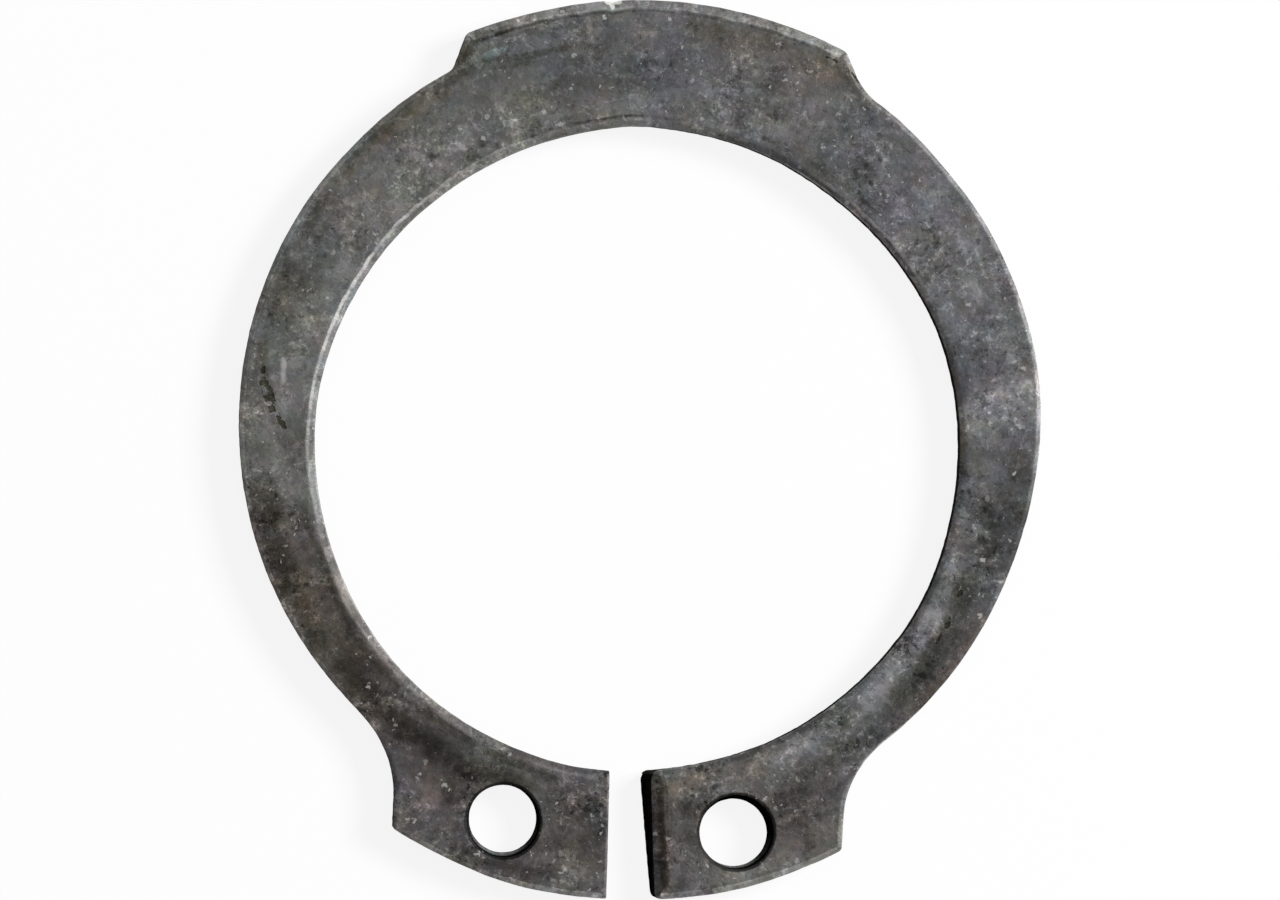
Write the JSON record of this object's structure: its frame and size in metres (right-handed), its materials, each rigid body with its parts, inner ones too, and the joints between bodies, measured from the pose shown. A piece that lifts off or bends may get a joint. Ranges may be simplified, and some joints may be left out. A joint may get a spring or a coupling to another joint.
{
  "type": "external retaining ring",
  "caption": "Flat sprung steel ring with an open gap, a wide pad opposite it and drilled lugs beside it, clipped into a shaft groove to hold parts on the shaft.",
  "frame": {"origin": "on the bore's axis, in the plane of the flat underside", "axes": "+Z along the bore's axis towards the face with the rolled edges, +Y towards the wide pad, -Y towards the gap between the lugs"},
  "size_m": [0.0231, 0.0258, 0.0012],
  "materials": {
    "spring_steel": "dark phosphated spring steel, mottled grey with a dull sheen and worn edges"
  },
  "bodies": {
    "root": {"retaining_ring": "spring_steel"}
  },
  "joints": []
}
